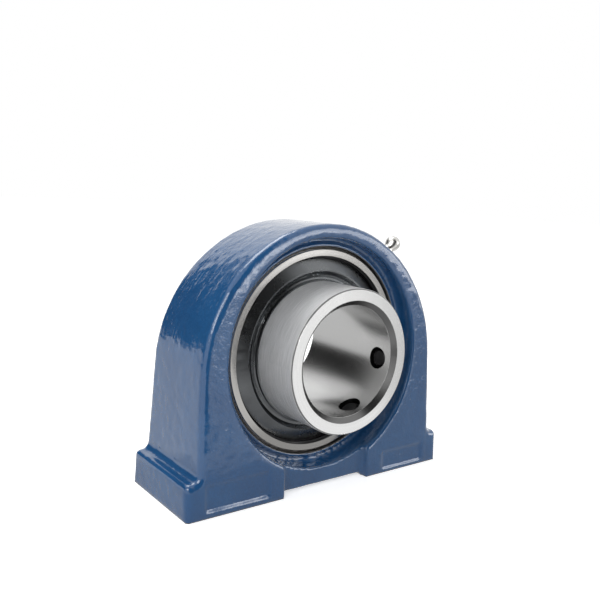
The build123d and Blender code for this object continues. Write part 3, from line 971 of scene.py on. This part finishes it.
@dataclass
class SetScrews:
    """The two socket set screws, with a cut thread.

    The envelope gives the cup at the point and the chamfer at the head. Its radii are in
    millimetres and its heights are sevenths of the screw's length.
    """

    place: UnitFrame
    finishes: Finishes
    major: float = 3.98 * MM
    minor: float = 3.42 * MM
    pitch: float = 1.0 * MM
    key_across: float = 4.0 * MM
    key_length: float = 6.8 * MM
    envelope: tuple[Span, ...] = (
        (0.0, 0.6), (2.0, 0.0), (2.6, 0.0), (3.98, 1.3), (3.98, 6.5), (3.5, 7.0), (0.0, 7.0),
    )
    flats: int = 48
    thread_flats: int = 28

    def build(self) -> None:
        """Make both screws over their CAD nodes."""
        for number, body in ((1, Body.SCREW_1), (2, Body.SCREW_2)):
            self._screw(f"set_screw_{number}", body)

    def _screw(self, node: str, body: Body) -> None:
        """Make one screw where its CAD node is.

        Args:
            node: The CAD node.
            body: The body it rides on.
        """
        joint = next(j for j in frame["joints"] if j["child"] == body.value)
        outward = -Vector(joint["axis"]).normalized()
        corners = [vertex.co for vertex in frame["nodes"][node].data.vertices]
        reach = [(corner - self.place.centre).dot(outward) for corner in corners]
        low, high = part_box(node)
        middle_y = (low.y + high.y) / 2
        start = self.place.centre + Vector((0, middle_y, 0)) + outward * min(reach)
        length = max(reach) - min(reach)
        oxide = self.finishes.metal["oxide"]
        rod = thread_form(self.minor, self.major, self.pitch, length, self.thread_flats)
        screw = make_piece(node + "_threaded", rod, oxide)
        full = self.envelope[-1][1]
        outline = [(radius * MM, height * length / full) for radius, height in self.envelope]
        keep = make_piece("screw envelope", spin_outline(outline, self.flats), oxide)
        carve(screw, keep, "INTERSECT")
        socket = hexagon_prism(self.key_across, self.key_length, length)
        carve(screw, make_piece("hex key", socket, oxide), "DIFFERENCE")
        screw.data.transform(facing(outward, start))
        shade(screw.data, 30)
        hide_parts(node)
        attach(screw, body.value)
        LOG.info("made %s", screw.name)


@dataclass
class GreaseFitting:
    """The plated grease fitting: thread, chamfered hexagon, neck and round head.

    The outlines are (radius, height) points in millimetres above the face that it seats on.
    The barrel's ends chamfer the hexagon.
    """

    place: UnitFrame
    finishes: Finishes
    seat_depth: float = 7.5 * MM
    hexagon_across: float = 7.0 * MM
    hexagon_height: float = 2.6 * MM
    turned: tuple[Span, ...] = (
        (1.3, -5.5), (2.6, -5.5), (3.0, -5.1), (3.0, -0.6), (2.7, -0.3), (2.7, 2.0),
        (2.4, 3.0), (2.1, 3.8), (2.1, 4.7), (2.3, 5.3), (2.7, 6.1), (2.94, 6.9), (3.0, 7.5),
        (2.94, 8.1), (2.72, 8.75), (2.35, 9.3), (1.95, 9.68), (1.6, 9.8), (1.6, 9.92),
        (1.5, 10.0), (0.95, 10.0), (0.8, 9.85), (0.8, 9.4), (1.3, 8.6),
    )
    barrel: tuple[Span, ...] = (
        (2.75, 0.0), (3.55, 0.0), (4.05, 0.3), (4.05, 2.25), (3.5, 2.6), (2.75, 2.6),
    )
    flats: int = 64

    def build(self) -> None:
        """Make the turned body and its hexagon, and dress the valve's pieces."""
        dress("grease_fitting_ball", self.finishes.metal["ball"])
        dress("grease_fitting_spring", self.finishes.metal["spring"])
        plate = self.finishes.metal["plate"]
        axis = self.place.grease_axis
        seat = self.place.grease_head - axis * self.seat_depth
        height = self.hexagon_height
        prism = hexagon_prism(self.hexagon_across, height, height / 2)
        nut = make_piece("fitting_hexagon", prism, plate)
        barrel = spin_outline(in_metres(self.barrel), self.flats)
        carve(nut, make_piece("hexagon chamfer", barrel, plate), "INTERSECT")
        body = spin_outline(in_metres(self.turned), self.flats)
        turned = make_piece("fitting_turned_body", body, plate)
        for piece in (nut, turned):
            piece.data.transform(facing(axis, seat))
            shade(piece.data, 30)
            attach(piece, Body.HOUSING.value)
            LOG.info("made %s", piece.name)
        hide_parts("grease_fitting_body")


# The studio


@dataclass(frozen=True)
class Sector:
    """A sector in front of the unit, seen from above, with soft edges.

    The left edge fades in and the right edge fades out over a span of sines; the near edge
    fades out towards the unit over a span of Y.
    """

    left: Span
    right: Span
    near: Span

    def mask(self, tree: ShaderTree, spot: Outputs) -> Socket:
        """Mask the sector.

        Args:
            tree: The tree that gets the mask.
            spot: The parts of a direction, or of a place on the floor.

        Returns:
            1 inside the sector, 0 outside.
        """
        share = tree.calc("DIVIDE", spot["X"], tree.length(spot["X"], spot["Y"]))
        sides = tree.times(tree.fall(share, *self.right), tree.ramp(share, *self.left))
        return tree.times(sides, tree.fall(spot["Y"], *self.near))


@dataclass(frozen=True)
class Room:
    """The white room that glossy faces reflect, and what stands in it.

    A dark flag hangs behind the unit: its high part above a sloping edge, its left part past
    an upright one. A dark cloth and a bright box stand in front.
    """

    dark: Colour = grey(0.02)
    soft: Colour = (0.60, 0.605, 0.62, 1.0)
    flag_slope: float = 0.57
    flag_edge: Span = (0.53, 0.58)
    flag_top: Span = (0.58, 0.66)
    left_edge: Span = (-0.21, -0.13)
    left_top: Span = (0.56, 0.66)
    flag_near: Span = (0.1, 0.4)
    cloth: Sector = Sector(left=(-0.62, -0.52), right=(0.28, 0.46), near=(-0.1, 0.0))
    cloth_top: Span = (0.90, 0.98)
    box: Sector = Sector(left=(0.44, 0.52), right=(0.86, 0.94), near=(-0.1, 0.0))
    box_top: Span = (0.24, 0.40)
    box_light: Colour = (4.2, 4.2, 4.2, 1.0)

    def colour(self, tree: ShaderTree) -> Socket:
        """Work out what is seen in a direction of the room.

        Args:
            tree: The world's tree.

        Returns:
            The colour's socket.
        """
        way = tree.add("SeparateXYZ", {0: tree.add("TexCoord").outputs["Generated"]}).outputs
        tilt = tree.minus(way["Z"], tree.times(way["X"], self.flag_slope))
        high = tree.times(tree.ramp(tilt, *self.flag_edge), tree.fall(way["Z"], *self.flag_top))
        left = tree.fall(way["X"], *self.left_edge)
        left = tree.times(left, tree.fall(way["Z"], *self.left_top))
        flag = tree.times(tree.most(high, left), tree.ramp(way["Y"], *self.flag_near))
        cloth = tree.times(self.cloth.mask(tree, way), tree.fall(way["Z"], *self.cloth_top))
        room = tree.mix(tree.most(flag, cloth), WHITE, self.dark)
        box = tree.times(self.box.mask(tree, way), tree.fall(way["Z"], *self.box_top))
        return tree.mix(box, room, self.box_light)


@dataclass(frozen=True)
class Table:
    """The white floor as glossy faces reflect it, in metres from the unit's middle.

    A dark cloth lies in front, and the floor is dimmer to the right and behind. Near the unit it carries a painted
    shadow of the unit.
    """

    white: Colour = grey(0.80)
    glow: float = 0.60
    dark: Colour = grey(0.05)
    dim: Colour = grey(0.1)
    cloth: Sector = Sector(left=(-0.62, -0.52), right=(0.04, 0.16), near=(-0.14, -0.09))
    right: Sector = Sector(left=(0.60, 0.74), right=(1.1, 1.2), near=(-0.05, 0.0))
    right_share: float = 0.45
    behind: Span = (0.0, 0.06)
    behind_share: float = 0.25
    # Painted shadow of the unit on the reflected floor: these spans fade it out across X and along Y.
    shadow_beside: Span = (0.078, 0.092)
    shadow_share: float = 0.5
    shadow_close: Span = (0.045, 0.065)
    shadow_middle: float = -0.015

    def colour(self, tree: ShaderTree) -> Socket:
        """Work out what is reflected of a place on the floor.

        Args:
            tree: The floor material's tree.

        Returns:
            The colour's socket.
        """
        spot = tree.spot()
        cloth = self.cloth.mask(tree, spot)
        right = tree.times(self.right.mask(tree, spot), self.right_share)
        behind = tree.times(tree.ramp(spot["Y"], *self.behind), self.behind_share)
        # Painted shadow of the unit: the reflected floor is darkened near its footprint.
        from_side = tree.calc("ABSOLUTE", spot["X"])
        shadow_beside = tree.times(tree.fall(from_side, *self.shadow_beside), self.shadow_share)
        from_middle = tree.calc("ABSOLUTE", tree.minus(spot["Y"], self.shadow_middle))
        shadow_close = tree.times(shadow_beside, tree.fall(from_middle, *self.shadow_close))
        dim = tree.most(tree.most(right, behind), shadow_close)
        return tree.mix(cloth, tree.mix(dim, WHITE, self.dim), self.dark)


@dataclass(frozen=True)
class Lamp:
    """A soft box that points at the shaft's centre."""

    name: str
    where: tuple[float, float, float]
    size: Span
    power: float


LAMPS = (
    Lamp("top soft box", (-0.05, 0.30, 0.85), (0.55, 0.45), 3.4),
    Lamp("left soft box", (-0.80, -0.45, 0.60), (0.50, 0.50), 3.4),
    Lamp("right low box", (0.50, -0.86, 0.10), (0.30, 0.20), 0.32),
)


@dataclass
class Studio:
    """A white sweep, soft light and the camera that took the photograph."""

    place: UnitFrame
    azimuth: float = math.radians(-37.434)
    elevation: float = math.radians(8.861)
    roll: float = math.radians(3.037)
    distance: float = 0.2705
    aim: tuple[float, float, float] = (-0.00143, 0.0, 0.06668)
    focal_pixels: float = 724.0
    picture_pixels: float = 600.0
    sensor_width: float = 36.0
    clip_start: float = 0.01
    floor_size: float = 6.0

    def build(self) -> None:
        """Set up the view, the world, the floor, the lamps and the camera."""
        bpy.context.scene.view_settings.view_transform = "Standard"
        self._world()
        self._floor()
        self._lamps()
        self._camera()

    def _camera(self) -> None:
        """Put the camera where the photograph was taken from."""
        data = bpy.data.cameras.new("camera")
        data.sensor_width = self.sensor_width
        data.lens = self.focal_pixels / self.picture_pixels * data.sensor_width
        data.clip_start = self.clip_start
        camera = bpy.data.objects.new("camera", data)
        bpy.context.scene.collection.objects.link(camera)
        flat = math.cos(self.elevation)
        side, front = math.sin(self.azimuth) * flat, -math.cos(self.azimuth) * flat
        back = Vector((side, front, math.sin(self.elevation)))
        turn = (-back).to_track_quat("-Z", "Y").to_matrix().to_4x4()
        place = Matrix.Translation(Vector(self.aim) + back * self.distance)
        camera.matrix_world = place @ turn @ Matrix.Rotation(self.roll, 4, "Z")
        bpy.context.scene.camera = camera

    def _world(self) -> None:
        """Light the scene: white behind, a soft grey on matt faces, the room on glossy ones."""
        room = Room()
        world = bpy.data.worlds.new("studio")
        world.use_nodes = True
        bpy.context.scene.world = world
        tree = ShaderTree(world.node_tree)
        world.node_tree.nodes.clear()
        camera_ray, shiny_ray = tree.rays()
        seen = tree.mix(shiny_ray, room.soft, room.colour(tree))
        seen = tree.mix(camera_ray, seen, WHITE)
        back = tree.add("Background", {"Color": seen, "Strength": 1.0})
        tree.add("OutputWorld", {"Surface": back.outputs["Background"]})

    def _floor(self) -> None:
        """Lay a white floor that keeps a faint shadow under the unit."""
        table = Table()
        material = bpy.data.materials.new("white floor")
        material.use_nodes = True
        tree = ShaderTree(material.node_tree)
        material.node_tree.nodes.clear()
        lit = tree.add("BsdfDiffuse", {"Color": table.white}).outputs[0]
        glow = tree.add("Emission", {"Color": WHITE, "Strength": table.glow}).outputs[0]
        both = tree.add("AddShader", {0: lit, 1: glow}).outputs[0]
        shown = tree.add("Emission", {"Color": table.colour(tree)}).outputs[0]
        camera_ray, shiny_ray = tree.rays()
        plain = tree.add("MixShader", {0: camera_ray, 1: lit, 2: both}).outputs[0]
        seen = tree.add("MixShader", {0: shiny_ray, 1: plain, 2: shown}).outputs[0]
        tree.add("OutputMaterial", {"Surface": seen})
        shape = bmesh.new()
        bmesh.ops.create_grid(shape, x_segments=1, y_segments=1, size=self.floor_size / 2)
        floor = make_piece("floor", shape, material, crease=0)

    def _lamps(self) -> None:
        """Hang the lamps, out of the camera's sight."""
        for lamp in LAMPS:
            data = bpy.data.lights.new(lamp.name, "AREA")
            data.shape = "RECTANGLE"
            data.size, data.size_y = lamp.size
            data.energy = lamp.power
            light = bpy.data.objects.new(lamp.name, data)
            bpy.context.scene.collection.objects.link(light)
            where = Vector(lamp.where)
            light.matrix_world = facing(where - self.place.centre, where)
            light.visible_camera = False


def main() -> None:
    """Build every sub-assembly."""
    logging.basicConfig(level=logging.INFO, format="%(message)s")
    place = UnitFrame.read()
    finishes = Finishes(place)
    Casting(place, finishes).build()
    Insert(place, finishes).build()
    SetScrews(place, finishes).build()
    GreaseFitting(place, finishes).build()
    Studio(place).build()


if __name__ == "__main__":
    main()
